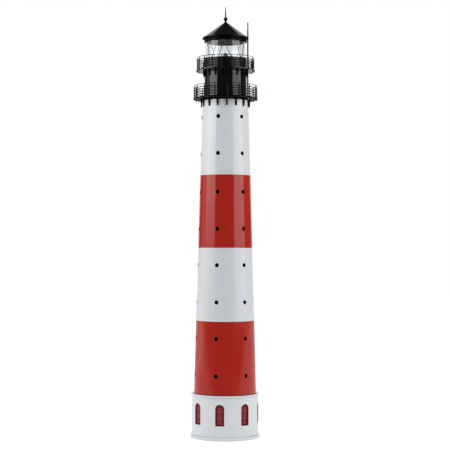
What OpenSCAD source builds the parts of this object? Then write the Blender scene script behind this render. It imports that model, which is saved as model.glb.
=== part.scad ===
// Miniature garden lighthouse, in millimetres. The origin is the centre of the foot's underside,
// +Z is up, and the front is the -Y side. An azimuth is counted from the front towards +X.

/* [Base drum] */
// How far the foot ring stands out from the drum
foot_out = 4.5; // [2:0.5:12]
// Height of the foot ring
foot_h = 10.5; // [10:0.5:20]
// How far the foot ring reaches in from the drum's inner face
foot_in = 8.5; // [7:0.5:16]
// Radius of the rounding on the foot ring's upper edge
foot_round = 2.5; // [1:0.5:4]
// Outer radius of the drum
drum_r = 99.5; // [90:0.5:120]
// Height of the drum shell
drum_h = 114; // [104:1:140]
// Wall of the drum shell
drum_wall = 3; // [2:0.5:4]
// Number of arched windows round the drum
window_count = 8; // [6:1:10]
// Azimuth of the first window
window_azimuth = -9; // [-20:1:20]
// Width of a window
window_w = 26.5; // [16:0.5:30]
// Height of a window, arch included
window_h = 62.5; // [40:0.5:70]
// Height of the sill over the foot ring
window_sill = 33; // [20:1:38]
// Width of a window frame's bar along the edge of the window
frame_bar_w = 3.6; // [2.5:0.1:5]
// Distance of the window frames' front from the drum's outside
frame_bar_inset = 1; // [0.4:0.1:1.5]
// Number of glazing bars across a window
glazing_count = 3; // [1:1:3]
// Height of the lowest glazing bar over the sill
glazing_first = 14; // [8:0.5:18]
// Distance from one glazing bar to the next
glazing_pitch = 20.5; // [12:0.5:21]
// Height of a glazing bar
glazing_w = 1.2; // [0.8:0.1:2]
// Wall of the red liner behind the windows
liner_wall = 2; // [1.5:0.5:3]
// Height of the spigots that hold the drum's two ends
spigot_h = 8; // [5:0.5:12]
// Wall of those spigots
spigot_wall = 3; // [2:0.5:4]
// How far the plate on top of the drum stands out from it
plate_out = 1.5; // [0:0.5:6]
// Thickness of that plate
plate_t = 6; // [4:0.5:8]
// Radius of the plate's central opening
plate_bore_r = 70; // [60:1:76]

/* [Tapered tower] */
// How far the foot of the tower stands in from the drum's outside
tower_inset = 7; // [4:0.5:12]
// Outer radius at the head of the tower
tower_top_r = 69.5; // [66:0.5:80]
// Wall of the tower bands
tower_wall = 2.5; // [2:0.5:3.5]
// Height of each of the three lower bands
band_h = 215; // [180:1:240]
// Height of the top band
top_band_h = 222; // [190:1:250]
// Diameter of a porthole
porthole_d = 12.5; // [8:0.5:16]
// Portholes in each ring
porthole_count = 6; // [4:1:8]
// Azimuth of the first porthole
porthole_azimuth = -17.5; // [-30:0.5:30]
// Distance from a band's upper end to its upper ring of portholes
porthole_drop = 50.5; // [34:0.5:56]
// Distance between a band's two rings of portholes
porthole_pitch = 108.5; // [60:0.5:112]
// Height of a joint sleeve
sleeve_h = 36; // [24:1:44]
// Wall of a joint sleeve
sleeve_wall = 2.5; // [2:0.5:4]
// Height of the rings that hold the two ends of the tower
end_ring_h = 14; // [10:1:20]
// Width of the lower one
end_ring_w = 12; // [10:0.5:14]
// Material that the upper one leaves inside its screw holes
head_ring_edge = 3; // [2:0.5:6]
// How far its screws stand in from the head of the tower, unless the service room keeps them further in
head_screw_in = 12.8; // [10:0.1:18]

/* [Lower gallery] */
// Height of the black collar between the head of the tower and the lower deck
collar_h = 5; // [3:0.5:10]
// How far the lower deck stands out from the head of the tower
lower_deck_out = 26.5; // [20:0.5:34]
// Thickness of both decks
deck_t = 4; // [3:0.5:6]
// Radius of the rounding on the edges of both decks
deck_round = 1; // [0.5:0.25:1.25]
// Number of brackets and of posts round the lower gallery
lower_count = 16; // [12:1:18]
// Azimuth of the first lower bracket and post
lower_azimuth = 3.3; // [0:0.1:7]
// How far a lower bracket hangs down
lower_bracket_drop = 24; // [16:1:30]
// How far a lower bracket stands out under its deck
lower_bracket_out = 8; // [5:0.5:16]
// Width of a bracket
bracket_w = 4.6; // [2:0.1:6]
// Depth of a bracket at its lower end
bracket_toe = 3; // [1.5:0.1:4]
// Distance of the lower posts' axes from the edge of their deck
lower_post_inset = 2.6; // [2.6:0.1:6]

/* [Service room and upper gallery] */
// Wall of the service room and of the parapet
room_wall = 3; // [2:0.25:3.25]
// Height of the service room
room_h = 80; // [60:1:100]
// How far the upper deck stands out from the service room
upper_deck_out = 25; // [22:0.5:32]
// Number of brackets and of posts round the upper gallery
upper_count = 18; // [12:1:20]
// Azimuth of the first upper bracket and post
upper_azimuth = 12.5; // [0:0.1:20]
// How far an upper bracket hangs down
upper_bracket_drop = 17; // [10:0.5:20]
// How far an upper bracket stands out under its deck
upper_bracket_out = 5; // [4.5:0.5:7]
// Distance of the upper posts' axes from the edge of their deck
upper_post_inset = 4.3; // [2.6:0.1:7]

/* [Railings] */
// Height of the top rail over its deck
railing_h = 36; // [24:1:40]
// Number of rails under the top rail
rail_count = 4; // [2:1:5]
// Diameter of a post
post_d = 3.6; // [2.5:0.1:4.2]
// Diameter of a post's slim upper end
post_tip_d = 2; // [1.6:0.1:2.4]
// Diameter of the thread under a post
post_stud_d = 2; // [1.6:0.1:2.4]
// Length of that thread
post_stud_h = 7; // [6:0.5:9]
// Diameter of the rails under the top rail
rail_d = 2.2; // [1.4:0.1:2.4]
// Diameter of the top rail
top_rail_d = 1.6; // [1.2:0.1:2.2]

/* [Lantern] */
// Height of the parapet round the foot of the glass
parapet_h = 33; // [20:1:44]
// Outer radius of the clear tube
glass_r = 60; // [55:0.5:65]
// Wall of the clear tube
glass_wall = 3; // [2:0.5:4]
// Gap between the clear tube and the parapet round its foot
hood_gap = 0.5; // [0.3:0.1:1]
// Height from the upper deck to the soffit
lantern_h = 93; // [86:1:120]
// Diameter of a frame wire
frame_wire_d = 2; // [1.6:0.1:2.6]
// Height of the frame's lower ring over the upper deck
frame_foot_h = 20; // [0.5:0.5:26]
// Height of the frame's two rings
frame_ring_h = 4; // [3:0.5:8]
// Thickness of those rings
frame_ring_t = 1.6; // [1:0.1:1.8]
// Number of V-shaped pairs of wires
frame_pairs = 4; // [3:1:6]
// Azimuth of the foot of the first pair
frame_azimuth = -30; // [-45:1:0]
// Angle between the two feet of a pair
frame_foot_angle = 3; // [2.5:0.5:6]
// Angle that each wire runs round the axis on its way up
frame_lean = 28; // [20:1:40]

/* [Roof] */
// How far the eave stands out from the clear tube
eave_out = 9; // [5:0.5:14]
// Thickness of the soffit plate under the roof
soffit_t = 2; // [1.5:0.5:4]
// Height of the roof's upright rim
roof_rim_h = 1.5; // [1:0.5:4]
// Rise of the roof from its rim to the finial's seat
roof_rise = 47; // [30:1:60]
// Radius of the flat seat under the finial
roof_seat_r = 3.4; // [3:0.1:5]
// Wall of the roof, measured upright
roof_wall = 2.4; // [1.6:0.1:4]
// Radius of the boss inside the roof's point
roof_boss_r = 6; // [6:0.5:9]
// Depth of the ring that hangs round the glass under the eave
roof_ring_h = 10; // [6:0.5:16]

/* [Finial] */
// Radius of the ball
ball_r = 5.8; // [4:0.1:7]
// Height of the ball's centre over the roof
ball_z = 9.3; // [8:0.1:14]
// Height of the finial over the roof
finial_h = 46.5; // [40:0.5:70]
// Radius of the spire at the ball
spire_r = 2.3; // [1.2:0.1:3]
// Radius of the spire's tip
spire_tip_r = 0.9; // [0.4:0.1:1.2]
// Height of the collar at the finial's foot
finial_collar_h = 2; // [1:0.25:2]
// Radius of the neck under the ball
neck_r = 3.2; // [2:0.1:3.3]
// Diameter of the finial's thread
finial_stud_d = 5; // [4:0.1:5.4]
// Length of the finial's thread
finial_stud_h = 9; // [8:0.5:14]

/* [Aerial mast] */
// Distance of the mast's axis from the eave
mast_out = 5; // [4:0.25:5.5]
// Number of the lower bracket that the mast stands next to
mast_bracket = 2; // [0:1:11]
// Angle from that bracket to the mast
mast_angle = 14.3; // [6:0.1:15]
// Diameter of the mast's tube
mast_tube_d = 4.2; // [3.6:0.1:4.6]
// Diameter of the mast's upper rod
mast_rod_d = 3; // [2:0.1:3.2]
// Height of the mast over the lower deck
mast_h = 221; // [200:1:260]
// Length of the rod that shows over the tube
mast_rod_show = 23; // [14:1:40]
// Length of the rod inside the tube
mast_rod_hidden = 10; // [6:1:16]
// Diameter of the mast's foot flange
mast_flange_d = 9; // [8:0.5:11]
// Thickness of that flange
mast_flange_t = 2; // [1:0.5:3]
// Diameter of the thread under the mast
mast_stud_d = 3; // [2.5:0.1:3.2]

/* [Lamp] */
// Radius of the lamp holder's base
lamp_base_r = 15; // [14:0.5:20]
// Thickness of the lamp holder's base
lamp_base_t = 3; // [2:0.5:5]
// Radius of the lamp holder
lamp_holder_r = 10; // [8:0.5:12]
// Height of the lamp holder
lamp_holder_h = 38; // [30:1:46]
// Radius of the bulb
bulb_r = 7; // [5:0.5:7.5]
// Height of the bulb over its holder
bulb_h = 14; // [10:0.5:18]
// Depth of the bulb's cap in its holder
bulb_cap_h = 8; // [6:0.5:12]

/* [Fastenings] */
// Diameter of the screws
screw_d = 4; // [3:0.1:4.5]
// Diameter of a screw's head
screw_head_d = 7; // [6:0.1:8]
// Height of a screw's head
screw_head_h = 2.5; // [2:0.1:3]
// Length of a screw under its head
screw_l = 15; // [12:0.5:18]
// Screws in each ring
screw_count = 6; // [3:1:8]
// Tie rods between the two decks
tie_rod_count = 3; // [3:1:4]
// Distance of the tie rods from the axis
tie_rod_circle_r = 40; // [30:1:42]
// Diameter of a tie rod
tie_rod_d = 4; // [3:0.1:5]
// Width across the flats of a nut, as a multiple of its thread
nut_flats_ratio = 1.75; // [1.6:0.05:2]
// Height of a nut, as a multiple of its thread
nut_height_ratio = 0.8; // [0.6:0.05:1]
// Diameter of the hole in each deck for the lamp's lead
lead_hole_d = 12; // [8:1:18]

/* [Cable gland] */
// Diameter of the gland's body in the foot ring
gland_d = 6; // [5:0.1:6.4]
// Diameter of the gland's flange inside the foot ring
gland_flange_d = 7.6; // [7:0.1:7.8]
// Thickness of the gland's flange
gland_flange_t = 2; // [1:0.1:3]
// Bore of the gland
gland_bore_d = 4; // [2.5:0.5:4.5]
// How far the gland's outer end lies inside the foot ring's face
gland_sink = 0.5; // [0.3:0.1:1]

/* [Clearances] */
// Gap between two pieces that seat on each other's round sides
fit_gap = 0.3; // [0.2:0.05:0.5]
// Gap between a piece and what is soldered to its side
solder_gap = 0.05; // [0.03:0.01:0.1]
// Gap between a thread and its nut or hole
thread_gap = 0.1; // [0.05:0.05:0.3]

/* [Hidden] */

RED = "#c4372c";
WHITE = "#eef0f0";
BLACK = "#1b1c1e";
WINE = "#8e1f2c";
MAROON = "#5e1220";
STEEL = "#b4b8bc";
PVC = "#55585b";
CLEAR = [0.9, 0.95, 0.95, 0.35];

$fn = 96;
small_fn = 32;
// Overlap of a cutting tool past the face it cuts
cut = 1;

// Radii that follow from the drum, the tower and the clear tube
drum_inner_r = drum_r - drum_wall;
foot_r = drum_r + foot_out;
foot_bore_r = drum_inner_r - foot_in;
plate_r = drum_r + plate_out;
tower_bottom_r = drum_r - tower_inset;
lower_deck_r = tower_top_r + lower_deck_out;
lower_post_circle_r = lower_deck_r - lower_post_inset;
room_r = glass_r + hood_gap + room_wall;
upper_deck_r = room_r + upper_deck_out;
upper_post_circle_r = upper_deck_r - upper_post_inset;
frame_ring_r = glass_r - glass_wall - fit_gap - frame_ring_t;
frame_r = frame_ring_r - solder_gap - frame_wire_d / 2;
eave_r = glass_r + eave_out;
mast_circle_r = eave_r + mast_out;
mast_azimuth = lower_azimuth + mast_bracket * 360 / lower_count + mast_angle;

// Heights of the seats, from the ground up
plate_z = foot_h + drum_h;
tower_z = plate_z + plate_t;
tower_h = 3 * band_h + top_band_h;
collar_z = tower_z + tower_h;
lower_deck_z = collar_z + collar_h;
room_z = lower_deck_z + deck_t;
upper_deck_z = room_z + room_h;
lantern_z = upper_deck_z + deck_t;
soffit_z = lantern_z + lantern_h;
roof_z = soffit_z + soffit_t;
roof_slope = roof_rise / (eave_r - roof_seat_r);
finial_z = roof_z + roof_rim_h + roof_rise;
roof_boss_z = roof_z + roof_rim_h + (eave_r - roof_boss_r) * roof_slope - roof_wall;

// Length of the gland inside the drum, its whole length and the height of its axis
gland_show = gland_flange_t + fit_gap;
gland_l = foot_r - gland_sink - foot_bore_r + gland_show;
gland_z = gland_flange_d / 2 + fit_gap;

rail_step = railing_h / (rail_count + 1);
end_screw_r = tower_bottom_r - tower_wall - fit_gap - end_ring_w / 2;
head_screw_r = min(tower_top_r - head_screw_in, room_r - room_wall - fit_gap - screw_head_d / 2);

// Outer radius of the tower at a height
function tower_r(z) = tower_bottom_r + (tower_top_r - tower_bottom_r) * (z - tower_z) / tower_h;

// Foot of band number i, counted from the bottom
function band_z(i) = tower_z + i * band_h;

// Turns what points along +X to an azimuth
module to_azimuth(a) {
    rotate([0, 0, a - 90]) children();
}

// Copies round the axis
module round_axis(count, first) {
    for (i = [0 : count - 1]) to_azimuth(first + i * 360 / count) children();
}

// A tube that stands on z
module tube(outer_r, inner_r, z, h) {
    translate([0, 0, z]) difference() {
        cylinder(r = outer_r, h = h);
        translate([0, 0, -cut]) cylinder(r = inner_r, h = h + 2 * cut);
    }
}

// A tapered tube between the tower's surface, less an inset, and its inner face
module tapered_tube(z0, z1, inset, wall) {
    rotate_extrude() polygon([
        [tower_r(z0) - inset - wall, z0],
        [tower_r(z0) - inset, z0],
        [tower_r(z1) - inset, z1],
        [tower_r(z1) - inset - wall, z1]
    ]);
}

// A hexagon nut whose underside lies at z = 0
module nut(thread_d) {
    difference() {
        cylinder(d = thread_d * nut_flats_ratio / cos(30), h = thread_d * nut_height_ratio, $fn = 6);
        translate([0, 0, -cut])
            cylinder(d = thread_d + 2 * thread_gap, h = thread_d + 2 * cut, $fn = small_fn);
    }
}

// A cheese-head screw whose head's underside lies at z = 0 and whose shank points down
module screw() {
    translate([0, 0, -screw_l]) cylinder(d = screw_d, h = screw_l, $fn = small_fn);
    cylinder(d = screw_head_d, h = screw_head_h, $fn = small_fn);
}

// Outline of a window, drawn in by an inset: a rectangle under a half circle
module window_outline(inset) {
    arch_z = window_h - window_w / 2;
    translate([inset - window_w / 2, inset]) square([window_w - 2 * inset, arch_z - inset]);
    translate([0, arch_z]) circle(d = window_w - 2 * inset);
}

// Carries an outline outwards through the drum's wall at every window
module through_windows() {
    round_axis(window_count, window_azimuth)
        translate([drum_inner_r - 2 * cut, 0, foot_h + window_sill])
            rotate([90, 0, 90]) linear_extrude(height = drum_wall + 4 * cut) children();
}

module foot_ring() {
    color(WHITE) difference() {
        union() {
            rotate_extrude() {
                translate([foot_bore_r, 0]) square([foot_r - foot_bore_r, foot_h - foot_round]);
                translate([foot_bore_r, 0]) square([foot_r - foot_round - foot_bore_r, foot_h]);
                translate([foot_r - foot_round, foot_h - foot_round]) circle(r = foot_round, $fn = small_fn);
            }
            tube(drum_inner_r - fit_gap, drum_inner_r - fit_gap - spigot_wall, foot_h - cut, spigot_h + cut);
        }
        gland_place() cylinder(d = gland_d + 2 * thread_gap, h = foot_r, $fn = small_fn);
    }
}

// Axis of the cable gland: outwards through the back of the foot ring
module gland_place() {
    translate([0, foot_bore_r - gland_show, gland_z]) rotate([-90, 0, 0]) children();
}

module cable_gland() {
    color(BLACK) gland_place() difference() {
        union() {
            cylinder(d = gland_d, h = gland_l, $fn = small_fn);
            cylinder(d = gland_flange_d, h = gland_flange_t, $fn = small_fn);
        }
        translate([0, 0, -cut]) cylinder(d = gland_bore_d, h = gland_l + 2 * cut, $fn = small_fn);
    }
}

module drum_shell() {
    color(WHITE) difference() {
        tube(drum_r, drum_inner_r, foot_h, drum_h);
        through_windows() window_outline(0);
    }
}

// A frame with its glazing bars in each window, in front of the liner
module window_frames() {
    color(MAROON) intersection() {
        tube(drum_r - frame_bar_inset, drum_inner_r - fit_gap + solder_gap, foot_h, drum_h);
        through_windows() {
            difference() {
                window_outline(solder_gap);
                window_outline(frame_bar_w);
            }
            intersection() {
                window_outline(solder_gap);
                for (i = [0 : glazing_count - 1])
                    translate([-window_w / 2, glazing_first + i * glazing_pitch])
                        square([window_w, glazing_w]);
            }
        }
    }
}

module window_liner() {
    outer_r = drum_inner_r - fit_gap;
    color(WINE) tube(outer_r, outer_r - liner_wall, foot_h + spigot_h + fit_gap,
        drum_h - 2 * spigot_h - 2 * fit_gap);
}

module drum_top_plate() {
    spigot_r = drum_inner_r - fit_gap;
    color(WHITE) difference() {
        union() {
            tube(plate_r, plate_bore_r, plate_z, plate_t);
            tube(spigot_r, spigot_r - spigot_wall, plate_z - spigot_h, spigot_h + cut);
        }
        round_axis(screw_count, 0)
            translate([end_screw_r, 0, plate_z - cut])
                cylinder(d = screw_d + 2 * thread_gap, h = plate_t + 2 * cut, $fn = small_fn);
    }
}

// One band of the tower with its two rings of portholes
module tower_band(i, h) {
    z0 = band_z(i);
    difference() {
        tapered_tube(z0, z0 + h, 0, tower_wall);
        for (drop = [porthole_drop, porthole_drop + porthole_pitch])
            round_axis(porthole_count, porthole_azimuth)
                translate([tower_top_r / 2, 0, z0 + h - drop])
                    rotate([0, 90, 0]) cylinder(d = porthole_d, h = tower_bottom_r, $fn = small_fn);
    }
}

module tower_band_red_lower() {
    color(RED) tower_band(0, band_h);
}

module tower_band_white_lower() {
    color(WHITE) tower_band(1, band_h);
}

module tower_band_red_upper() {
    color(RED) tower_band(2, band_h);
}

module tower_band_white_upper() {
    color(WHITE) tower_band(3, top_band_h);
}

// A sleeve inside the joint under band number i
module joint_sleeve(i) {
    color(PVC) tapered_tube(band_z(i) - sleeve_h / 2, band_z(i) + sleeve_h / 2,
        tower_wall + fit_gap, sleeve_wall);
}

// Blind screw holes of an end ring, drilled upwards from z0 or downwards from z1
module ring_holes(circle_r, z) {
    round_axis(screw_count, 0)
        translate([circle_r, 0, z])
            cylinder(d = screw_d + 2 * thread_gap, h = screw_l + cut, $fn = small_fn);
}

module tower_foot_ring() {
    color(PVC) difference() {
        tapered_tube(tower_z, tower_z + end_ring_h, tower_wall + fit_gap, end_ring_w);
        ring_holes(end_screw_r, tower_z - cut);
    }
}

module tower_head_ring() {
    z1 = lower_deck_z;
    outer_inset = tower_wall + fit_gap;
    inner_r = head_screw_r - screw_d / 2 - head_ring_edge;
    color(PVC) difference() {
        rotate_extrude() polygon([
            [inner_r, z1 - end_ring_h],
            [tower_r(z1 - end_ring_h) - outer_inset, z1 - end_ring_h],
            [tower_r(z1) - outer_inset, z1],
            [inner_r, z1]
        ]);
        ring_holes(head_screw_r, z1 - screw_l);
        mast_nut_room();
    }
}

module head_collar() {
    color(BLACK) difference() {
        tapered_tube(collar_z, lower_deck_z, 0, tower_wall);
        mast_nut_room();
    }
}

module plate_screws() {
    color(STEEL) round_axis(screw_count, 0)
        translate([end_screw_r, 0, plate_z]) rotate([180, 0, 0]) screw();
}

module deck_screws() {
    color(STEEL) round_axis(screw_count, 0)
        translate([head_screw_r, 0, room_z]) screw();
}

// A round plate as thick as a deck, with rounded edges
module round_plate(r) {
    rotate_extrude() {
        square([r - deck_round, deck_t]);
        translate([0, deck_round]) square([r, deck_t - 2 * deck_round]);
        for (z = [deck_round, deck_t - deck_round])
            translate([r - deck_round, z]) circle(r = deck_round, $fn = small_fn);
    }
}

// A deck with its holes for post threads, tie rods and the lamp's lead
module deck(deck_r, z, post_r, count, first) {
    difference() {
        translate([0, 0, z]) round_plate(deck_r);
        translate([0, 0, z - cut]) {
            cylinder(d = lead_hole_d, h = deck_t + 2 * cut, $fn = small_fn);
            round_axis(tie_rod_count, 0) translate([tie_rod_circle_r, 0, 0])
                cylinder(d = tie_rod_d + 2 * thread_gap, h = deck_t + 2 * cut, $fn = small_fn);
            round_axis(count, first) translate([post_r, 0, 0])
                cylinder(d = post_stud_d + 2 * thread_gap, h = deck_t + 2 * cut, $fn = small_fn);
        }
    }
}

// Outline of a bracket in the plane of its radius: a straight back and a hollow front curve
module bracket_side(top_r, toe_r, out, drop) {
    steps = 6;
    front_r = toe_r + bracket_toe;
    curve = [for (i = [0 : steps]) let (a = 90 * i / steps) [
        front_r + (top_r + out - front_r) * (1 - sin(a)),
        -drop * (1 - cos(a))
    ]];
    polygon(concat([[toe_r, -drop], [top_r, 0]], curve));
}

// Outline of a bracket seen along its radius: a bar with a round lower end
module bracket_face(drop) {
    end_r = bracket_w / 2;
    translate([-end_r, end_r - drop]) square([bracket_w, drop - end_r]);
    translate([0, end_r - drop]) circle(r = end_r, $fn = small_fn);
}

// Brackets on a wall, under a deck whose underside lies at z
module brackets(z, top_r, toe_r, out, drop, count, first) {
    round_axis(count, first) translate([0, 0, z]) intersection() {
        translate([0, bracket_w / 2, 0]) rotate([90, 0, 0])
            linear_extrude(height = bracket_w) bracket_side(top_r, toe_r, out, drop);
        rotate([90, 0, 90]) linear_extrude(height = top_r + out + cut) bracket_face(drop);
    }
}

// Posts on a deck whose top lies at z
module posts(circle_r, z, count, first) {
    shoulder = railing_h - rail_step + rail_d;
    tip_z = railing_h - top_rail_d / 2 - solder_gap;
    round_axis(count, first) translate([circle_r, 0, z]) {
        translate([0, 0, -post_stud_h]) cylinder(d = post_stud_d, h = post_stud_h + cut, $fn = small_fn);
        cylinder(d = post_d, h = shoulder, $fn = small_fn);
        cylinder(d = post_tip_d, h = tip_z, $fn = small_fn);
    }
}

// Nuts on the post threads under a deck
module post_nuts(circle_r, z, count, first) {
    round_axis(count, first)
        translate([circle_r, 0, z - post_stud_d * nut_height_ratio]) nut(post_stud_d);
}

// The rails: the top one soldered on the posts' tips, the others to the posts' inner side
module rails(circle_r, z) {
    for (i = [1 : rail_count])
        translate([0, 0, z + i * rail_step]) rotate_extrude()
            translate([circle_r - (post_d + rail_d) / 2 - solder_gap, 0]) circle(d = rail_d, $fn = small_fn);
    translate([0, 0, z + railing_h]) rotate_extrude()
        translate([circle_r, 0]) circle(d = top_rail_d, $fn = small_fn);
}

// Places something on the mast's axis
module mast_place(z) {
    to_azimuth(mast_azimuth) translate([mast_circle_r, 0, z]) children();
}

// Room under the lower deck for the mast's nut and thread, where the head of the tower reaches them
module mast_nut_room() {
    room_d = mast_stud_d * nut_flats_ratio / cos(30) + 2 * fit_gap;
    depth = mast_stud_d * nut_height_ratio + cut + fit_gap;
    mast_place(lower_deck_z - depth) cylinder(d = room_d, h = depth + cut, $fn = small_fn);
}

module lower_gallery_deck() {
    color(BLACK) difference() {
        deck(lower_deck_r, lower_deck_z, lower_post_circle_r, lower_count, lower_azimuth);
        mast_place(lower_deck_z - cut)
            cylinder(d = mast_stud_d + 2 * thread_gap, h = deck_t + 2 * cut, $fn = small_fn);
        round_axis(screw_count, 0) translate([head_screw_r, 0, lower_deck_z - cut])
            cylinder(d = screw_d + 2 * thread_gap, h = deck_t + 2 * cut, $fn = small_fn);
    }
}

module lower_gallery_brackets() {
    toe_z = lower_deck_z - lower_bracket_drop;
    color(BLACK) brackets(lower_deck_z, tower_r(lower_deck_z) + solder_gap, tower_r(toe_z) + solder_gap,
        lower_bracket_out, lower_bracket_drop, lower_count, lower_azimuth);
}

module lower_gallery_posts() {
    color(BLACK) posts(lower_post_circle_r, room_z, lower_count, lower_azimuth);
}

module lower_gallery_rails() {
    color(BLACK) rails(lower_post_circle_r, room_z);
}

module lower_gallery_nuts() {
    color(BLACK) post_nuts(lower_post_circle_r, lower_deck_z, lower_count, lower_azimuth);
}

module service_room() {
    color(BLACK) tube(room_r, room_r - room_wall, room_z, room_h);
}

module tie_rods() {
    nut_h = tie_rod_d * nut_height_ratio;
    color(STEEL) round_axis(tie_rod_count, 0)
        translate([tie_rod_circle_r, 0, lower_deck_z - nut_h - cut])
            cylinder(d = tie_rod_d, h = room_h + 2 * (deck_t + nut_h + cut), $fn = small_fn);
}

module tie_rod_nuts() {
    color(STEEL) round_axis(tie_rod_count, 0) translate([tie_rod_circle_r, 0, 0]) {
        translate([0, 0, lower_deck_z - tie_rod_d * nut_height_ratio]) nut(tie_rod_d);
        translate([0, 0, lantern_z]) nut(tie_rod_d);
    }
}

module upper_gallery_deck() {
    color(BLACK) difference() {
        deck(upper_deck_r, upper_deck_z, upper_post_circle_r, upper_count, upper_azimuth);
        mast_place(upper_deck_z - cut)
            cylinder(d = mast_tube_d + 2 * fit_gap, h = deck_t + 2 * cut, $fn = small_fn);
    }
}

module upper_gallery_brackets() {
    color(BLACK) brackets(upper_deck_z, room_r + solder_gap, room_r + solder_gap,
        upper_bracket_out, upper_bracket_drop, upper_count, upper_azimuth);
}

module upper_gallery_posts() {
    color(BLACK) posts(upper_post_circle_r, lantern_z, upper_count, upper_azimuth);
}

module upper_gallery_rails() {
    color(BLACK) rails(upper_post_circle_r, lantern_z);
}

module upper_gallery_nuts() {
    color(BLACK) post_nuts(upper_post_circle_r, upper_deck_z, upper_count, upper_azimuth);
}

module lantern_parapet() {
    color(BLACK) tube(room_r, room_r - room_wall, lantern_z, parapet_h);
}

module lantern_glass() {
    color(CLEAR) tube(glass_r, glass_r - glass_wall, lantern_z + fit_gap, lantern_h - fit_gap);
}

// A wire between two azimuths on the frame's circle, from z0 to z1
module frame_wire(foot_azimuth, head_azimuth, z0, z1) {
    foot = [frame_r * sin(foot_azimuth), -frame_r * cos(foot_azimuth), z0];
    head = [frame_r * sin(head_azimuth), -frame_r * cos(head_azimuth), z1];
    run = head - foot;
    translate(foot) rotate([0, acos(run.z / norm(run)), atan2(run.y, run.x)])
        cylinder(d = frame_wire_d, h = norm(run), $fn = small_fn);
}

module frame_rings() {
    outer_r = frame_ring_r + frame_ring_t;
    color(BLACK) {
        tube(outer_r, frame_ring_r, lantern_z + frame_foot_h, frame_ring_h);
        tube(outer_r, frame_ring_r, soffit_z - frame_ring_h, frame_ring_h);
    }
}

module frame_wires() {
    // Room for the slant of a wire's flat end
    end_room = frame_wire_d / 2;
    color(BLACK) for (i = [0 : frame_pairs - 1], side = [-1, 1]) {
        foot_azimuth = frame_azimuth + i * 360 / frame_pairs + side * frame_foot_angle / 2;
        frame_wire(foot_azimuth, foot_azimuth + side * frame_lean,
            lantern_z + frame_foot_h + end_room, soffit_z - end_room);
    }
}

module soffit_plate() {
    color(BLACK) translate([0, 0, soffit_z]) cylinder(r = eave_r, h = soffit_t);
}

module roof_ring() {
    ring_inner_r = glass_r + fit_gap;
    color(BLACK) tube(room_r, ring_inner_r, soffit_z - roof_ring_h, roof_ring_h);
}

module roof_cone() {
    hole_r = finial_stud_d / 2 + thread_gap;
    rim_z = roof_z + roof_rim_h;
    inner_eave_r = eave_r - (roof_wall - roof_rim_h) / roof_slope;
    color(BLACK) rotate_extrude() polygon([
        [inner_eave_r, roof_z],
        [eave_r, roof_z],
        [eave_r, rim_z],
        [roof_seat_r, finial_z],
        [hole_r, finial_z],
        [hole_r, roof_boss_z],
        [roof_boss_r, roof_boss_z]
    ]);
}

module roof_nut() {
    color(STEEL) translate([0, 0, roof_boss_z - finial_stud_d * nut_height_ratio]) nut(finial_stud_d);
}

module finial() {
    color(BLACK) translate([0, 0, finial_z]) {
        translate([0, 0, -finial_stud_h]) cylinder(d = finial_stud_d, h = finial_stud_h, $fn = small_fn);
        cylinder(r = roof_seat_r, h = finial_collar_h);
        translate([0, 0, finial_collar_h])
            cylinder(r1 = roof_seat_r, r2 = neck_r, h = ball_z - ball_r - finial_collar_h);
        cylinder(r = neck_r, h = ball_z);
        translate([0, 0, ball_z]) sphere(r = ball_r);
        translate([0, 0, ball_z]) cylinder(r1 = spire_r, r2 = spire_tip_r, h = finial_h - ball_z);
    }
}

module mast_tube() {
    tube_h = mast_h - mast_rod_show;
    nut_h = mast_stud_d * nut_height_ratio;
    color(BLACK) mast_place(room_z) difference() {
        union() {
            cylinder(d = mast_tube_d, h = tube_h, $fn = small_fn);
            cylinder(d = mast_flange_d, h = mast_flange_t, $fn = small_fn);
            translate([0, 0, -deck_t - nut_h - cut])
                cylinder(d = mast_stud_d, h = deck_t + nut_h + 2 * cut, $fn = small_fn);
        }
        translate([0, 0, tube_h - mast_rod_hidden])
            cylinder(d = mast_rod_d + 2 * solder_gap, h = mast_rod_hidden + cut, $fn = small_fn);
    }
}

module mast_rod() {
    color(BLACK) mast_place(room_z + mast_h - mast_rod_show - mast_rod_hidden)
        cylinder(d = mast_rod_d, h = mast_rod_show + mast_rod_hidden, $fn = small_fn);
}

module mast_nut() {
    color(STEEL) mast_place(lower_deck_z - mast_stud_d * nut_height_ratio) nut(mast_stud_d);
}

module lamp_holder() {
    color(BLACK) translate([0, 0, lantern_z]) difference() {
        union() {
            cylinder(r = lamp_base_r, h = lamp_base_t);
            cylinder(r = lamp_holder_r, h = lamp_holder_h);
        }
        translate([0, 0, -cut])
            cylinder(d = lead_hole_d, h = lamp_holder_h - bulb_cap_h - 2 * cut, $fn = small_fn);
        translate([0, 0, lamp_holder_h - bulb_cap_h])
            cylinder(r = bulb_r + solder_gap, h = bulb_cap_h + cut);
    }
}

module lamp_bulb() {
    cap_z = lantern_z + lamp_holder_h - bulb_cap_h;
    color(CLEAR) translate([0, 0, cap_z]) {
        cylinder(r = bulb_r, h = bulb_cap_h + bulb_h - bulb_r);
        translate([0, 0, bulb_cap_h + bulb_h - bulb_r]) sphere(r = bulb_r);
    }
}

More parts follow.
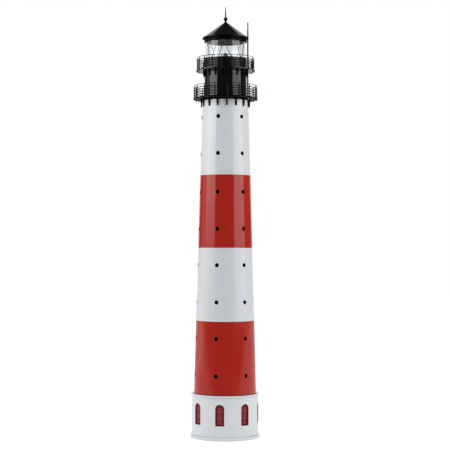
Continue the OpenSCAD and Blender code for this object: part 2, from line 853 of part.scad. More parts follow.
foot_ring();
drum_shell();
window_liner();
window_frames();
drum_top_plate();
cable_gland();
tower_band_red_lower();
tower_band_white_lower();
tower_band_red_upper();
tower_band_white_upper();
tower_foot_ring();
joint_sleeve(1);  // joint_sleeve_lower
joint_sleeve(2);  // joint_sleeve_middle
joint_sleeve(3);  // joint_sleeve_upper
tower_head_ring();
head_collar();
plate_screws();
deck_screws();
lower_gallery_deck();
lower_gallery_brackets();
lower_gallery_posts();
lower_gallery_rails();
lower_gallery_nuts();
service_room();
tie_rods();
tie_rod_nuts();
upper_gallery_deck();
upper_gallery_brackets();
upper_gallery_posts();
upper_gallery_rails();
upper_gallery_nuts();
lantern_parapet();
lantern_glass();
frame_rings();
frame_wires();
soffit_plate();
roof_ring();
roof_cone();
roof_nut();
finial();
mast_tube();
mast_rod();
mast_nut();
lamp_holder();
lamp_bulb();
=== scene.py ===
"""Looks of the miniature lighthouse: lacquered tower, black acrylic lantern, clear tube and studio.

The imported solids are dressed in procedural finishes. Small pieces that the solids leave out, such as
solder and sealant beads, are worked out here as surfaces. Every length is in metres. The origin is the
centre of the foot's underside, +Z is up and -Y is the front. An azimuth is counted from the front
towards +X.
"""

import math

import bpy
import numpy as np
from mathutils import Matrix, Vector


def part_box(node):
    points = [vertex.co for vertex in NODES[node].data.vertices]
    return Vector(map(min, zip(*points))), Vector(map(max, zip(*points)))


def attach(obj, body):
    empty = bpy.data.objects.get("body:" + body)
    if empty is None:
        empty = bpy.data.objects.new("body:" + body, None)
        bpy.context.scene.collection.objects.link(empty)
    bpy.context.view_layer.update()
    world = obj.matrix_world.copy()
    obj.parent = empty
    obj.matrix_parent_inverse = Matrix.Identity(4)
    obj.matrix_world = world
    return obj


bl_info = {
    "name": "Miniature lighthouse",
    "version": (1, 1, 0),
    "blender": (4, 5, 0),
    "location": "View3D > Sidebar > Lighthouse",
    "description": "Dresses the lighthouse's solids in lacquer, acrylic and metal and sets up its studio",
    "category": "Object",
}

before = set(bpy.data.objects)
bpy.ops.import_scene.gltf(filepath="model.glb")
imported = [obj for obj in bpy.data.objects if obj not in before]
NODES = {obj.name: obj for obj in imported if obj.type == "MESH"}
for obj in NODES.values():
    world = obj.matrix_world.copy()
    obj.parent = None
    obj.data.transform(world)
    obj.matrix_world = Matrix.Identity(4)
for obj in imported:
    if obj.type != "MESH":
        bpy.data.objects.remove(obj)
MM = 0.001

# Noise textures keep to this part of their range from 0 to 1
NOISE_LOW, NOISE_HIGH = 0.3, 0.7
# A wave texture's bands repeat this many times in one unit at scale 1
WAVE_BANDS = 20
# Windows round the drum, and the azimuth of the first one
WINDOWS, FIRST_WINDOW = 8, math.radians(-9)
# Posts of each gallery, the azimuth of the first one, and their distance from the deck's edge
GALLERIES = {"lower": (16, 3.3, 2.6 * MM), "upper": (18, 12.5, 4.3 * MM)}
# From the tower's axis to the light panels
PANEL_DISTANCE = 1.6
# Height over which a panel's brightness grows from its lower edge
PANEL_FADE = 0.85
# Rails under the top rail, and the radii of a rail, of the top rail and of a post
RAILS, RAIL_R, TOP_RAIL_R, POST_R = 4, 1.1 * MM, 0.8 * MM, 1.8 * MM
# Half a window as an angle, over which a pane's painted highlight in its middle fades, and how much its
# clouds add
PANE_FADE, CLOUD_SHARE = math.radians(8), 0.3
# Normal times radius under which a face belongs to the inside of a pipe
INSIDE_LEAN = -20 * MM
# Bare plastic inside the tower, coloured near-black as painted shade, and moulded plastic
DARK_PLASTIC_AND_SHADE = "#17181a"
# Upright light panels: name, setting of its brightness, azimuths in degrees, heights of its lower and
# upper edge, and share of the brightness at the lower edge
PANELS = (
    ("left_panel", "left_light", (-92, -46), (0.33, 2.2), 0.0),
    ("left_back_panel", "back_light", (-118, -92), (0.1, 2.2), 0.8),
    ("right_panel", "right_light", (38, 88), (0.32, 2.2), 0.45),
)
# Width of the camera's sensor in millimetres
SENSOR_WIDTH = 36.0
# Share of its height that counts as depth for the white sweep, and the depth from which it is white
SWEEP_LEAN, SWEEP_EDGE = 0.25, 0.85
# The floor's glow to the eye, and in a reflection, where the paper's own light does more of the work
FLOOR_GLOW, MIRRORED_FLOOR_GLOW = 0.8, 0.3
# Half the floor's width and its depth behind the object, and its depth in front
FLOOR_WIDE, FLOOR_FRONT = 12.0, 1.5


# Colours and nodes


def linear(hex_colour):
    """sRGB hex to linear RGBA: below 0.04045 divide by 12.92, above it raise (c + 0.055) / 1.055 to 2.4."""
    parts = [int(hex_colour[i : i + 2], 16) / 255 for i in (1, 3, 5)]
    return tuple(c / 12.92 if c <= 0.04045 else ((c + 0.055) / 1.055) ** 2.4 for c in parts) + (1.0,)


def add(tree, kind, settings=None, **sockets):
    """Adds one node. settings are its attributes; sockets are input values, or outputs to link from.

    An input whose name has a space is written with an underscore, and in_0 stands for input number 0.
    """
    node = tree.nodes.new(kind)
    for name, value in (settings or {}).items():
        setattr(node, name, value)
    for name, value in sockets.items():
        number = name.removeprefix("in_")
        socket = node.inputs[int(number)] if number.isdigit() else node.inputs[name.replace("_", " ")]
        if isinstance(value, bpy.types.NodeSocket):
            tree.links.new(value, socket)
        else:
            socket.default_value = value
    return node


def new_material(name):
    """An empty node material and its tree, its output node and the object-coordinate output."""
    material = bpy.data.materials.new(name)
    material.use_nodes = True
    tree = material.node_tree
    tree.nodes.clear()
    out = tree.nodes.new("ShaderNodeOutputMaterial")
    coords = tree.nodes.new("ShaderNodeTexCoord").outputs["Object"]
    return material, tree, out, coords


# Finishes


def sprayed_lacquer(name, colour, deep, roughness):
    """Two-pack lacquer sprayed on PVC pipe: an even high gloss over faint orange peel with cells of 1.5 mm.

    The film is a shade deeper where it lies thick, over about 80 mm. A face that looks towards the axis
    is the pipe's inside: bare plastic, coloured near-black as painted shade inside the tower. There the
    normal times the radius is under INSIDE_LEAN.
    """
    material, tree, out, coords = new_material(name)
    film = add(tree, "ShaderNodeTexNoise", Vector=coords, Scale=1 / (80 * MM), Detail=2.0)
    tint = add(tree, "ShaderNodeMix", {"data_type": "RGBA"}, in_0=film.outputs["Fac"])
    tint.inputs[6].default_value = linear(colour)
    tint.inputs[7].default_value = linear(deep)
    radius = add(tree, "ShaderNodeVectorMath", {"operation": "MULTIPLY"}, in_0=coords, in_1=(1, 1, 0))
    normal = add(tree, "ShaderNodeNewGeometry").outputs["Normal"]
    lean = add(
        tree,
        "ShaderNodeVectorMath",
        {"operation": "DOT_PRODUCT"},
        in_0=radius.outputs[0],
        in_1=normal,
    )
    inside = add(
        tree,
        "ShaderNodeMath",
        {"operation": "LESS_THAN"},
        in_0=lean.outputs["Value"],
        in_1=INSIDE_LEAN,
    )
    # The pipe's inside is bare plastic, darkened to near-black as painted shade inside the tower
    skin = add(tree, "ShaderNodeMix", {"data_type": "RGBA"}, in_0=inside.outputs[0], in_6=tint.outputs[2])
    skin.inputs[7].default_value = linear(DARK_PLASTIC_AND_SHADE)
    peel = add(tree, "ShaderNodeTexNoise", Vector=coords, Scale=1 / (1.5 * MM), Detail=1.0)
    bump = add(tree, "ShaderNodeBump", Height=peel.outputs["Fac"], Strength=0.2, Distance=0.005 * MM)
    lacquer = add(
        tree,
        "ShaderNodeBsdfPrincipled",
        Base_Color=skin.outputs[2],
        Roughness=roughness,
        IOR=1.5,
        Normal=bump.outputs[0],
    )
    tree.links.new(lacquer.outputs[0], out.inputs["Surface"])
    return material


def cast_acrylic(name, colour, roughness, specular=0.5):
    """Cast acrylic, polished: a deep colour under a mirror gloss, with wiping haze in patches of 4 mm."""
    material, tree, out, coords = new_material(name)
    wipe = add(tree, "ShaderNodeTexNoise", Vector=coords, Scale=1 / (4 * MM), Detail=3.0)
    gloss = add(
        tree,
        "ShaderNodeMapRange",
        Value=wipe.outputs["Fac"],
        From_Min=NOISE_LOW,
        From_Max=NOISE_HIGH,
        To_Min=roughness * 0.7,
        To_Max=roughness * 1.3,
    )
    acrylic = add(
        tree,
        "ShaderNodeBsdfPrincipled",
        Base_Color=linear(colour),
        Roughness=gloss.outputs[0],
        IOR=1.49,
        Specular_IOR_Level=specular,
    )
    tree.links.new(acrylic.outputs[0], out.inputs["Surface"])
    return material


def sanded_acrylic(name, colour):
    """Black acrylic sheet, sanded before it is glued: soft black with faint scratches about 0.5 mm apart."""
    material, tree, out, coords = new_material(name)
    scratch = add(tree, "ShaderNodeTexNoise", Vector=coords, Scale=1 / (0.5 * MM), Detail=3.0)
    bump = add(tree, "ShaderNodeBump", Height=scratch.outputs["Fac"], Strength=0.3, Distance=0.02 * MM)
    gloss = add(
        tree,
        "ShaderNodeMapRange",
        Value=scratch.outputs["Fac"],
        From_Min=NOISE_LOW,
        From_Max=NOISE_HIGH,
        To_Min=0.4,
        To_Max=0.55,
    )
    sheet = add(
        tree,
        "ShaderNodeBsdfPrincipled",
        Base_Color=linear(colour),
        Roughness=gloss.outputs[0],
        IOR=1.49,
        Specular_IOR_Level=0.06,
        Normal=bump.outputs[0],
    )
    tree.links.new(sheet.outputs[0], out.inputs["Surface"])
    return material


def wine_acrylic_painted_highlight(name, edge, middle, roughness, specular):
    """Wine-red acrylic under a polished front: each pane is painted lighter in its middle, a painted
    highlight.

    The distance from a pane's middle is the azimuth folded into half the windows' pitch. The painted
    highlight in the middle fades into the edge shade over PANE_FADE, and clouds of 12 mm move it towards
    the edge shade.
    """
    material, tree, out, coords = new_material(name)
    place_xyz = add(tree, "ShaderNodeSeparateXYZ", in_0=coords)
    front = add(tree, "ShaderNodeMath", {"operation": "MULTIPLY"}, in_0=place_xyz.outputs[1], in_1=-1.0)
    azimuth = add(
        tree,
        "ShaderNodeMath",
        {"operation": "ARCTAN2"},
        in_0=place_xyz.outputs[0],
        in_1=front.outputs[0],
    )
    turned_back = add(
        tree,
        "ShaderNodeMath",
        {"operation": "SUBTRACT"},
        in_0=azimuth.outputs[0],
        in_1=FIRST_WINDOW,
    )
    folded = add(
        tree,
        "ShaderNodeMath",
        {"operation": "PINGPONG"},
        in_0=turned_back.outputs[0],
        in_1=math.pi / WINDOWS,
    )
    fade = add(
        tree,
        "ShaderNodeMapRange",
        {"interpolation_type": "SMOOTHSTEP"},
        Value=folded.outputs[0],
        From_Min=0.0,
        From_Max=PANE_FADE,
    )
    cloud = add(tree, "ShaderNodeTexNoise", Vector=coords, Scale=1 / (12 * MM), Detail=2.0)
    mixed = add(
        tree,
        "ShaderNodeMath",
        {"operation": "MULTIPLY_ADD"},
        in_0=cloud.outputs["Fac"],
        in_1=CLOUD_SHARE,
        in_2=fade.outputs[0],
    )
    # The lighter middle of each pane is a painted highlight
    tint = add(tree, "ShaderNodeMix", {"data_type": "RGBA"}, in_0=mixed.outputs[0])
    tint.inputs[6].default_value = linear(middle)
    tint.inputs[7].default_value = linear(edge)
    pane = add(
        tree,
        "ShaderNodeBsdfPrincipled",
        Base_Color=tint.outputs[2],
        Roughness=roughness,
        IOR=1.49,
        Specular_IOR_Level=specular,
    )
    tree.links.new(pane.outputs[0], out.inputs["Surface"])
    return material


def coated_steel(name, colour):
    """Steel wire under black powder coating: deep black, half gloss, with a grain of 0.6 mm."""
    material, tree, out, coords = new_material(name)
    grain = add(tree, "ShaderNodeTexNoise", Vector=coords, Scale=1 / (0.6 * MM), Detail=2.0)
    bump = add(tree, "ShaderNodeBump", Height=grain.outputs["Fac"], Strength=0.3, Distance=0.03 * MM)
    gloss = add(
        tree,
        "ShaderNodeMapRange",
        Value=grain.outputs["Fac"],
        From_Min=NOISE_LOW,
        From_Max=NOISE_HIGH,
        To_Min=0.34,
        To_Max=0.46,
    )
    coat = add(
        tree,
        "ShaderNodeBsdfPrincipled",
        Base_Color=linear(colour),
        Roughness=gloss.outputs[0],
        IOR=1.5,
        Specular_IOR_Level=0.2,
        Normal=bump.outputs[0],
    )
    tree.links.new(coat.outputs[0], out.inputs["Surface"])
    return material


def zinc_steel(name):
    """Zinc-plated turned steel: cool grey, satin, with turning marks 0.4 mm apart round the upright axis."""
    material, tree, out, coords = new_material(name)
    marks = add(
        tree,
        "ShaderNodeTexWave",
        {"wave_type": "BANDS", "bands_direction": "Z"},
        Vector=coords,
        Scale=1 / (WAVE_BANDS * 0.4 * MM),
        Distortion=1.0,
    )
    bump = add(tree, "ShaderNodeBump", Height=marks.outputs["Fac"], Strength=0.2, Distance=0.02 * MM)
    blotch = add(tree, "ShaderNodeTexNoise", Vector=coords, Scale=1 / (5 * MM), Detail=2.0)
    gloss = add(
        tree,
        "ShaderNodeMapRange",
        Value=blotch.outputs["Fac"],
        From_Min=NOISE_LOW,
        From_Max=NOISE_HIGH,
        To_Min=0.28,
        To_Max=0.42,
    )
    zinc = add(
        tree,
        "ShaderNodeBsdfPrincipled",
        Base_Color=linear("#b9bdc2"),
        Metallic=1.0,
        Roughness=gloss.outputs[0],
        Normal=bump.outputs[0],
    )
    tree.links.new(zinc.outputs[0], out.inputs["Surface"])
    return material


def turned_pvc(name):
    """Grey PVC turned on a lathe: matt grey with fine grooves 0.5 mm apart along the axis."""
    material, tree, out, coords = new_material(name)
    groove = add(
        tree,
        "ShaderNodeTexWave",
        {"wave_type": "BANDS", "bands_direction": "Z"},
        Vector=coords,
        Scale=1 / (WAVE_BANDS * 0.5 * MM),
    )
    bump = add(tree, "ShaderNodeBump", Height=groove.outputs["Fac"], Strength=0.3, Distance=0.05 * MM)
    haze = add(tree, "ShaderNodeTexNoise", Vector=coords, Scale=1 / (12 * MM), Detail=2.0)
    tint = add(tree, "ShaderNodeMix", {"data_type": "RGBA"}, in_0=haze.outputs["Fac"])
    tint.inputs[6].default_value = linear("#3c3f42")
    tint.inputs[7].default_value = linear("#505356")
    pvc = add(
        tree,
        "ShaderNodeBsdfPrincipled",
        Base_Color=tint.outputs[2],
        Roughness=0.55,
        IOR=1.53,
        Normal=bump.outputs[0],
    )
    tree.links.new(pvc.outputs[0], out.inputs["Surface"])
    return material


def moulded_abs(name, colour):
    """Injection-moulded ABS from a spark-eroded tool: matt, with a leather-like grain of 0.8 mm."""
    material, tree, out, coords = new_material(name)
    grain = add(tree, "ShaderNodeTexVoronoi", Vector=coords, Scale=1 / (0.8 * MM))
    bump = add(tree, "ShaderNodeBump", Height=grain.outputs["Distance"], Strength=0.3, Distance=0.05 * MM)
    haze = add(tree, "ShaderNodeTexNoise", Vector=coords, Scale=1 / (6 * MM), Detail=2.0)
    gloss = add(
        tree,
        "ShaderNodeMapRange",
        Value=haze.outputs["Fac"],
        From_Min=NOISE_LOW,
        From_Max=NOISE_HIGH,
        To_Min=0.42,
        To_Max=0.55,
    )
    plastic = add(
        tree,
        "ShaderNodeBsdfPrincipled",
        Base_Color=linear(colour),
        Roughness=gloss.outputs[0],
        IOR=1.54,
        Normal=bump.outputs[0],
    )
    tree.links.new(plastic.outputs[0], out.inputs["Surface"])
    return material


def clear_tube(name):
    """Extruded clear acrylic tube: nearly water-clear, with draw lines 6 mm apart along the axis.

    The lines are a shade greyer than the rest, and every wall that is looked through adds its grey.
    """
    material, tree, out, coords = new_material(name)
    stretched = add(tree, "ShaderNodeMapping", Vector=coords, Scale=(1.0, 1.0, 0.05))
    lines = add(tree, "ShaderNodeTexNoise", Vector=stretched.outputs[0], Scale=1 / (6 * MM), Detail=1.0)
    tint = add(tree, "ShaderNodeMix", {"data_type": "RGBA"}, in_0=lines.outputs["Fac"])
    tint.inputs[6].default_value = linear("#f4f5f6")
    tint.inputs[7].default_value = linear("#e6e8ea")
    glass = add(
        tree,
        "ShaderNodeBsdfPrincipled",
        Base_Color=tint.outputs[2],
        Roughness=0.0,
        IOR=1.49,
        Transmission_Weight=1.0,
    )
    tree.links.new(glass.outputs[0], out.inputs["Surface"])
    return material


def smoked_bulb(name):
    """Blow-moulded bulb with a smoke-grey coat: dark, glossy, a little thinner in patches of 3 mm."""
    material, tree, out, coords = new_material(name)
    smoke = add(tree, "ShaderNodeTexNoise", Vector=coords, Scale=1 / (3 * MM), Detail=2.0)
    tint = add(tree, "ShaderNodeMix", {"data_type": "RGBA"}, in_0=smoke.outputs["Fac"])
    tint.inputs[6].default_value = linear("#1c1d1f")
    tint.inputs[7].default_value = linear("#3a3c3e")
    bulb = add(tree, "ShaderNodeBsdfPrincipled", Base_Color=tint.outputs[2], Roughness=0.15, IOR=1.5)
    tree.links.new(bulb.outputs[0], out.inputs["Surface"])
    return material


def sealant(name, colour):
    """Silicone sealant smoothed with a finger: even, satin, with soft ripples 5 mm apart."""
    material, tree, out, coords = new_material(name)
    ripple = add(tree, "ShaderNodeTexNoise", Vector=coords, Scale=1 / (5 * MM), Detail=1.0)
    bump = add(tree, "ShaderNodeBump", Height=ripple.outputs["Fac"], Strength=0.3, Distance=0.1 * MM)
    silicone = add(
        tree,
        "ShaderNodeBsdfPrincipled",
        Base_Color=linear(colour),
        Roughness=0.5,
        IOR=1.41,
        Normal=bump.outputs[0],
    )
    tree.links.new(silicone.outputs[0], out.inputs["Surface"])
    return material


# Surfaces


def surface(name, grids):
    """One mesh of several closed grids: each is an (m, n, 3) array whose first index runs round and closes.

    Quad (i, j) joins points (i, j), (i + 1, j), (i + 1, j + 1), (i, j + 1), with i counted modulo m.
    """
    points, quads, start = [], [], 0
    for grid in grids:
        m, n = grid.shape[:2]
        i, j = np.meshgrid(np.arange(m), np.arange(n - 1), indexing="ij")
        k = (i + 1) % m
        corners = np.stack([i * n + j, k * n + j, k * n + j + 1, i * n + j + 1], -1)
        quads.append(start + corners.reshape(-1, 4))
        points.append(grid.reshape(-1, 3))
        start += m * n
    mesh = bpy.data.meshes.new(name)
    mesh.from_pydata(np.concatenate(points).tolist(), [], np.concatenate(quads).tolist())
    mesh.polygons.foreach_set("use_smooth", np.ones(len(mesh.polygons), bool))
    mesh.update()
    piece = bpy.data.objects.new(name, mesh)
    bpy.context.scene.collection.objects.link(piece)
    return piece


def ring(radius, z, tube, around=192, sides=10):
    """A torus about the Z axis: at turn u and side v, r = radius + tube cos v, height z + tube sin v."""
    u = np.arange(around)[:, None] * 2 * np.pi / around
    v = np.linspace(0, 2 * np.pi, sides + 1)[None, :]
    r = radius + tube * np.cos(v)
    return np.stack([r * np.cos(u), r * np.sin(u), z + tube * np.sin(v) + 0 * u], -1)


def bead(centre, radius, sides=8, rings=5):
    """A bead: at turn u and latitude v, from pole to pole, it is
    centre + radius (cos v cos u, cos v sin u, sin v).
    """
    u = np.arange(sides)[:, None] * 2 * np.pi / sides
    v = np.linspace(-np.pi / 2, np.pi / 2, rings + 1)[None, :]
    shape = np.stack([np.cos(v) * np.cos(u), np.cos(v) * np.sin(u), np.sin(v) + 0 * u], -1)
    return np.array(centre) + radius * shape


def place(azimuth, radius, z):
    """The point at an azimuth in degrees, counted from the front towards +X, on a circle about the axis."""
    a = math.radians(azimuth)
    return (radius * math.sin(a), -radius * math.cos(a), z)


def outer_radius(node):
    """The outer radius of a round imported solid: half of its wider side."""
    low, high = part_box(node)
    return max(high.x - low.x, high.y - low.y) / 2


def finish(piece, material, body):
    """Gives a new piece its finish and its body."""
    piece.data.materials.append(material)
    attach(piece, body)


def dress(material, *names):
    """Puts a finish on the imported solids."""
    for name in names:
        node = NODES[name]
        node.data.materials.clear()
        node.data.materials.append(material)


# Settings


class LighthouseFinishes(bpy.types.PropertyGroup):
    """Colours and gloss of the visible surfaces."""

    red: bpy.props.StringProperty(
        name="Red", description="Lacquer of the red bands, sRGB hex", default="#be2b20"
    )
    red_deep: bpy.props.StringProperty(
        name="Deep red", description="The same lacquer where it lies thick, sRGB hex", default="#b8281c"
    )
    white: bpy.props.StringProperty(
        name="White", description="Lacquer of the drum and the white bands, sRGB hex", default="#ebeef1"
    )
    white_deep: bpy.props.StringProperty(
        name="Warm white", description="The same lacquer where it lies thick, sRGB hex", default="#e8ebee"
    )
    black: bpy.props.StringProperty(
        name="Black", description="Acrylic of the decks, walls and roof, sRGB hex", default="#0a0a0b"
    )
    soft_black: bpy.props.StringProperty(
        name="Soft black", description="Sanded acrylic and coated steel, sRGB hex", default="#050506"
    )
    maroon: bpy.props.StringProperty(
        name="Maroon", description="Acrylic of the window frames, sRGB hex", default="#6a0c18"
    )
    wine: bpy.props.StringProperty(
        name="Wine red", description="Edge of the acrylic behind the windows, sRGB hex", default="#94182a"
    )
    # The rose middle of each pane is a painted highlight on the wine acrylic
    painted_highlight_rose: bpy.props.StringProperty(
        name="Rose", description="Middle of the acrylic behind the windows, sRGB hex", default="#8e4a50"
    )
    lacquer_roughness: bpy.props.FloatProperty(
        name="Lacquer roughness", description="Roughness of the sprayed bands", default=0.1, min=0.0, max=1.0
    )
    acrylic_roughness: bpy.props.FloatProperty(
        name="Acrylic roughness",
        description="Roughness of the polished black",
        default=0.06,
        min=0.0,
        max=1.0,
    )
    satin_roughness: bpy.props.FloatProperty(
        name="Satin roughness", description="Roughness of the parapet", default=0.3, min=0.0, max=1.0
    )
    window_specular: bpy.props.FloatProperty(
        name="Window reflection",
        description="Strength of the windows' reflections",
        default=0.15,
        min=0.0,
        max=1.0,
    )
    roof_specular: bpy.props.FloatProperty(
        name="Roof reflection",
        description="Strength of the roof's reflections",
        default=0.2,
        min=0.0,
        max=1.0,
    )


class LighthouseDetails(bpy.types.PropertyGroup):
    """Sizes of the small pieces that are made here."""

    solder_r: bpy.props.FloatProperty(
        name="Solder bead", description="Radius of a solder bead", default=1.2 * MM, unit="LENGTH"
    )
    seam_r: bpy.props.FloatProperty(
        name="Seam bead",
        description="Radius of the sealant beads in the corners",
        default=1.1 * MM,
        unit="LENGTH",
    )


class LighthouseStudio(bpy.types.PropertyGroup):
    """Camera and light panels."""

    distance: bpy.props.FloatProperty(
        name="Camera distance",
        description="From the tower's axis to the camera",
        default=3.725,
        unit="LENGTH",
    )
    height: bpy.props.FloatProperty(
        name="Camera height", description="Of the camera over the floor", default=0.5674, unit="LENGTH"
    )
    side: bpy.props.FloatProperty(
        name="Camera side",
        description="Of the camera to the right of the axis",
        default=-0.83 * MM,
        unit="LENGTH",
    )
    pitch: bpy.props.FloatProperty(
        name="Camera pitch", description="Upwards from level", default=math.radians(0.94), subtype="ANGLE"
    )
    roll: bpy.props.FloatProperty(
        name="Camera roll",
        description="Turn about the view axis",
        default=math.radians(-0.09),
        subtype="ANGLE",
    )
    lens: bpy.props.FloatProperty(name="Lens", description="Focal length in millimetres", default=100.0)
    left_light: bpy.props.FloatProperty(
        name="Left panel", description="Brightness of the left light panel", default=3.2, min=0.0
    )
    back_light: bpy.props.FloatProperty(
        name="Left back panel",
        description="Brightness of the panel behind the left one",
        default=0.5,
        min=0.0,
    )
    right_light: bpy.props.FloatProperty(
        name="Right panel", description="Brightness of the right light panel", default=2.45, min=0.0
    )
    bounce_light: bpy.props.FloatProperty(
        name="Paper bounce", description="Brightness of the light from the floor paper", default=0.28, min=0.0
    )
    paper_r: bpy.props.FloatProperty(
        name="Paper radius", description="Radius of the lit floor paper", default=1.1, unit="LENGTH"
    )
    front_fill: bpy.props.FloatProperty(
        name="Front fill",
        description="Brightness of the room's front for matt surfaces",
        default=0.04,
        min=0.0,
    )
    back_fill: bpy.props.FloatProperty(
        name="Back fill",
        description="Brightness of the room's back for matt surfaces",
        default=0.64,
        min=0.0,
    )
    room_light: bpy.props.FloatProperty(
        name="Room", description="Brightness of the room in reflections", default=0.08, min=0.0
    )


# Operators


class LIGHTHOUSE_OT_tower(bpy.types.Operator):
    """Lacquer on the drum and the tower's bands, acrylic in and behind the windows"""

    bl_idname = "lighthouse.tower"
    bl_label = "Dress the tower"

    def execute(self, context):
        look = context.scene.lighthouse_finishes
        red = sprayed_lacquer("sprayed_red_lacquer", look.red, look.red_deep, look.lacquer_roughness)
        white = sprayed_lacquer("sprayed_white_lacquer", look.white, look.white_deep, look.lacquer_roughness)
        dress(red, "tower_band_red_lower", "tower_band_red_upper")
        dress(
            white,
            "foot_ring",
            "drum_shell",
            "drum_top_plate",
            "tower_band_white_lower",
            "tower_band_white_upper",
        )
        gloss, specular = look.acrylic_roughness, look.window_specular
        dress(cast_acrylic("cast_maroon_acrylic", look.maroon, gloss, specular), "window_frames")
        dress(wine_acrylic_painted_highlight("wine_acrylic_with_painted_highlight", look.wine, look.painted_highlight_rose, gloss, specular), "window_liner")
        dress(
            turned_pvc("turned_grey_pvc"),
            "tower_foot_ring",
            "tower_head_ring",
            "joint_sleeve_lower",
            "joint_sleeve_middle",
            "joint_sleeve_upper",
        )
        dress(moulded_abs("moulded_black_abs", DARK_PLASTIC_AND_SHADE), "cable_gland", "lamp_holder")
        return {"FINISHED"}


class LIGHTHOUSE_OT_galleries(bpy.types.Operator):
    """Black acrylic and coated steel on the galleries, and solder beads where the rails meet the posts"""

    bl_idname = "lighthouse.galleries"
    bl_label = "Dress the galleries"

    def execute(self, context):
        look = context.scene.lighthouse_finishes
        size = context.scene.lighthouse_details
        polished = cast_acrylic("cast_black_acrylic", look.black, look.acrylic_roughness)
        sanded = sanded_acrylic("sanded_black_acrylic", look.soft_black)
        steel = coated_steel("powder_coated_black_steel", look.soft_black)
        dress(polished, "service_room", "upper_gallery_deck")
        dress(cast_acrylic("satin_black_acrylic", look.black, look.satin_roughness), "lantern_parapet")
        dress(sanded, "head_collar", "lower_gallery_deck", "lower_gallery_brackets", "upper_gallery_brackets")
        dress(
            steel,
            "lower_gallery_posts",
            "lower_gallery_rails",
            "lower_gallery_nuts",
            "upper_gallery_posts",
            "upper_gallery_rails",
            "upper_gallery_nuts",
            "mast_tube",
            "mast_rod",
        )
        for name, (posts, first, inset) in GALLERIES.items():
            circle = outer_radius(f"{name}_gallery_deck") - inset
            low, high = (corner.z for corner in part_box(f"{name}_gallery_rails"))
            lowest, top = low + RAIL_R, high - TOP_RAIL_R
            step = (top - lowest) / RAILS
            joints = [(circle - POST_R, lowest + i * step) for i in range(RAILS)]
            joints.append((circle, top - TOP_RAIL_R))
            beads = [
                bead(place(first + k * 360 / posts, radius, z), size.solder_r)
                for k in range(posts)
                for radius, z in joints
            ]
            finish(surface(f"{name}_rail_solder", beads), steel, "tower")
        return {"FINISHED"}


class LIGHTHOUSE_OT_lantern(bpy.types.Operator):
    """Clear tube, wire frame, lamp, roof and finial"""

    bl_idname = "lighthouse.lantern"
    bl_label = "Dress the lantern"

    def execute(self, context):
        look = context.scene.lighthouse_finishes
        dress(clear_tube("extruded_clear_acrylic"), "lantern_glass")
        dress(bpy.data.materials["powder_coated_black_steel"], "frame_rings", "frame_wires")
        # The cone is bent from thin sheet, whose face mirrors less than the cast walls do
        roof = cast_acrylic("bent_black_acrylic", look.black, look.acrylic_roughness, look.roof_specular)
        dress(roof, "roof_cone")
        dress(bpy.data.materials["sanded_black_acrylic"], "soffit_plate", "roof_ring", "finial")
        dress(smoked_bulb("smoked_bulb_glass"), "lamp_bulb")
        return {"FINISHED"}


class LIGHTHOUSE_OT_fastenings(bpy.types.Operator):
    """Zinc-plated screws, rods and nuts, and sealant beads in the corners between pieces; the beads at the
    tower's foot and under the plate are coloured as painted shadow lines
    """

    bl_idname = "lighthouse.fastenings"
    bl_label = "Dress the fastenings"

    def execute(self, context):
        seam = context.scene.lighthouse_details.seam_r
        dress(
            zinc_steel("zinc_plated_steel"),
            "plate_screws",
            "deck_screws",
            "tie_rods",
            "tie_rod_nuts",
            "mast_nut",
            "roof_nut",
        )
        plate_low, plate_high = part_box("drum_shell")[1].z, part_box("drum_top_plate")[1].z
        # The dark brown bead at the tower's foot is coloured as a painted shadow line where the red band
        # meets the plate
        foot = surface("tower_foot_seam", [ring(outer_radius("tower_band_red_lower"), plate_high, seam)])
        finish(foot, sealant("dark_sealant_painted_shadow", "#3a2222"), "tower")
        # The grey bead under the plate's overhang is coloured as a painted shadow line under the overhang
        under = surface("plate_under_seam", [ring(outer_radius("drum_shell"), plate_low, seam)])
        finish(under, sealant("grey_sealant_painted_shadow", "#b4b8ba"), "tower")
        wall, (room_low, room_high) = outer_radius("service_room"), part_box("service_room")
        heights = (room_low.z, room_high.z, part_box("lantern_parapet")[0].z)
        corners = surface("black_corner_seams", [ring(wall, z, seam) for z in heights])
        finish(corners, sealant("black_sealant", "#0e0e0f"), "tower")
        return {"FINISHED"}


def panel(name, azimuths, z_range, low_share, brightness):
    """An upright light panel that faces the tower's axis between two azimuths, in degrees.

    Its lower edge has low_share of its full brightness, which it reaches PANEL_FADE higher. A panel
    that looks as bright as brightness gives pi times its area times brightness in watts.
    """
    middle, half = sum(azimuths) / 2, (azimuths[1] - azimuths[0]) / 2
    light = bpy.data.lights.new(name, "AREA")
    light.shape = "RECTANGLE"
    light.size = 2 * PANEL_DISTANCE * math.tan(math.radians(half))
    light.size_y = z_range[1] - z_range[0]
    light.energy = math.pi * light.size * light.size_y * brightness
    light.use_nodes = True
    tree = light.node_tree
    tree.nodes.clear()
    position = add(tree, "ShaderNodeNewGeometry").outputs["Position"]
    height = add(tree, "ShaderNodeSeparateXYZ", in_0=position).outputs["Z"]
    level = add(
        tree,
        "ShaderNodeMapRange",
        Value=height,
        From_Min=z_range[0],
        From_Max=z_range[0] + PANEL_FADE,
        To_Min=low_share,
    )
    glow = add(tree, "ShaderNodeEmission", Strength=level.outputs[0])
    add(tree, "ShaderNodeOutputLight", Surface=glow.outputs[0])
    lamp = bpy.data.objects.new(name, light)
    lamp.location = place(middle, PANEL_DISTANCE, sum(z_range) / 2)
    lamp.rotation_euler = (math.pi / 2, 0, math.radians(middle))
    lamp.visible_camera = False
    bpy.context.scene.collection.objects.link(lamp)


def stage_plane(name, corners, material):
    """A flat stage piece through four corners."""
    mesh = bpy.data.meshes.new(name)
    mesh.from_pydata(corners, [], [(0, 1, 2, 3)])
    piece = bpy.data.objects.new(name, mesh)
    bpy.context.scene.collection.objects.link(piece)
    piece.data.materials.append(material)


